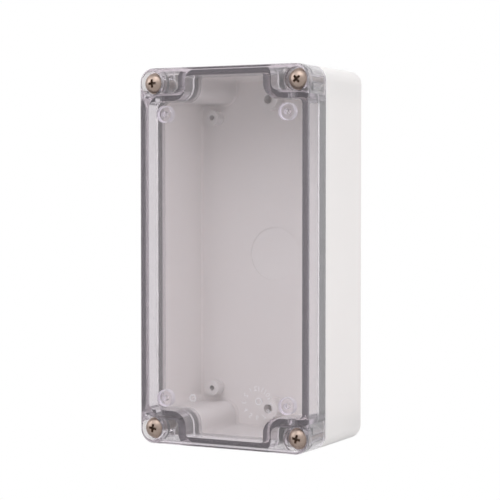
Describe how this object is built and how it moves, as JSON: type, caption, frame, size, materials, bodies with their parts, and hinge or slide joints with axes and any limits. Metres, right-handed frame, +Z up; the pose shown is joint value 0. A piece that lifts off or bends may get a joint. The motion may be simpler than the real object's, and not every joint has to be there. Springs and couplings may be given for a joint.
{
  "type": "plastic enclosure",
  "caption": "Upright rectangular plastic enclosure: opaque drafted base with standoffs, clear deep lid with a seal, and cross-recess screws at the corners.",
  "frame": {"origin": "centre of the bounding box's bottom face, with the box standing upright on its short end", "axes": "+X to the right seen from the front, +Y from the lid to the back, +Z up along the long side"},
  "size_m": [0.08, 0.055, 0.16],
  "materials": {
    "grey_plastic": "pale warm grey moulded plastic, fine satin texture",
    "clear_plastic": "clear, faintly cool transparent plastic, polished",
    "seal_rubber": "dark grey seal strip, matt",
    "screw_steel": "warm nickel-plated steel, lightly worn, dark recess",
    "insert_brass": "turned brass"
  },
  "bodies": {
    "base": {"base_box": "grey_plastic", "threaded_insert_top_left": "insert_brass", "threaded_insert_top_right": "insert_brass", "threaded_insert_bottom_left": "insert_brass", "threaded_insert_bottom_right": "insert_brass"},
    "lid": {"clear_lid": "clear_plastic", "gasket": "seal_rubber"},
    "washer_top_left": {"screw_washer_top_left": "screw_steel"},
    "screw_top_left": {"lid_screw_top_left": "screw_steel"},
    "washer_top_right": {"screw_washer_top_right": "screw_steel"},
    "screw_top_right": {"lid_screw_top_right": "screw_steel"},
    "washer_bottom_left": {"screw_washer_bottom_left": "screw_steel"},
    "screw_bottom_left": {"lid_screw_bottom_left": "screw_steel"},
    "washer_bottom_right": {"screw_washer_bottom_right": "screw_steel"},
    "screw_bottom_right": {"lid_screw_bottom_right": "screw_steel"}
  },
  "joints": [
    {"name": "lid_lift", "type": "slide", "parent": "base", "child": "lid", "axis": [0, -1, 0], "range_m": [0, 0.04]},
    {"name": "screw_rise_top_left", "type": "slide", "parent": "lid", "child": "washer_top_left", "axis": [0, -1, 0], "range_m": [0, 0.0065]},
    {"name": "screw_turn_top_left", "type": "hinge", "parent": "washer_top_left", "child": "screw_top_left", "pos_m": [-0.0342, -0.0245, 0.1536], "axis": [0, -1, 0], "range_deg": [0, 3344]},
    {"name": "screw_rise_top_right", "type": "slide", "parent": "lid", "child": "washer_top_right", "axis": [0, -1, 0], "range_m": [0, 0.0065]},
    {"name": "screw_turn_top_right", "type": "hinge", "parent": "washer_top_right", "child": "screw_top_right", "pos_m": [0.0342, -0.0245, 0.1536], "axis": [0, -1, 0], "range_deg": [0, 3344]},
    {"name": "screw_rise_bottom_left", "type": "slide", "parent": "lid", "child": "washer_bottom_left", "axis": [0, -1, 0], "range_m": [0, 0.0065]},
    {"name": "screw_turn_bottom_left", "type": "hinge", "parent": "washer_bottom_left", "child": "screw_bottom_left", "pos_m": [-0.0342, -0.0245, 0.0064], "axis": [0, -1, 0], "range_deg": [0, 3344]},
    {"name": "screw_rise_bottom_right", "type": "slide", "parent": "lid", "child": "washer_bottom_right", "axis": [0, -1, 0], "range_m": [0, 0.0065]},
    {"name": "screw_turn_bottom_right", "type": "hinge", "parent": "washer_bottom_right", "child": "screw_bottom_right", "pos_m": [0.0342, -0.0245, 0.0064], "axis": [0, -1, 0], "range_deg": [0, 3344]}
  ],
  "couplings": [
    {"joint": "screw_turn_top_left", "follows": "screw_rise_top_left", "rad_per_m": 8976},
    {"joint": "screw_turn_top_right", "follows": "screw_rise_top_right", "rad_per_m": 8976},
    {"joint": "screw_turn_bottom_left", "follows": "screw_rise_bottom_left", "rad_per_m": 8976},
    {"joint": "screw_turn_bottom_right", "follows": "screw_rise_bottom_right", "rad_per_m": 8976}
  ]
}
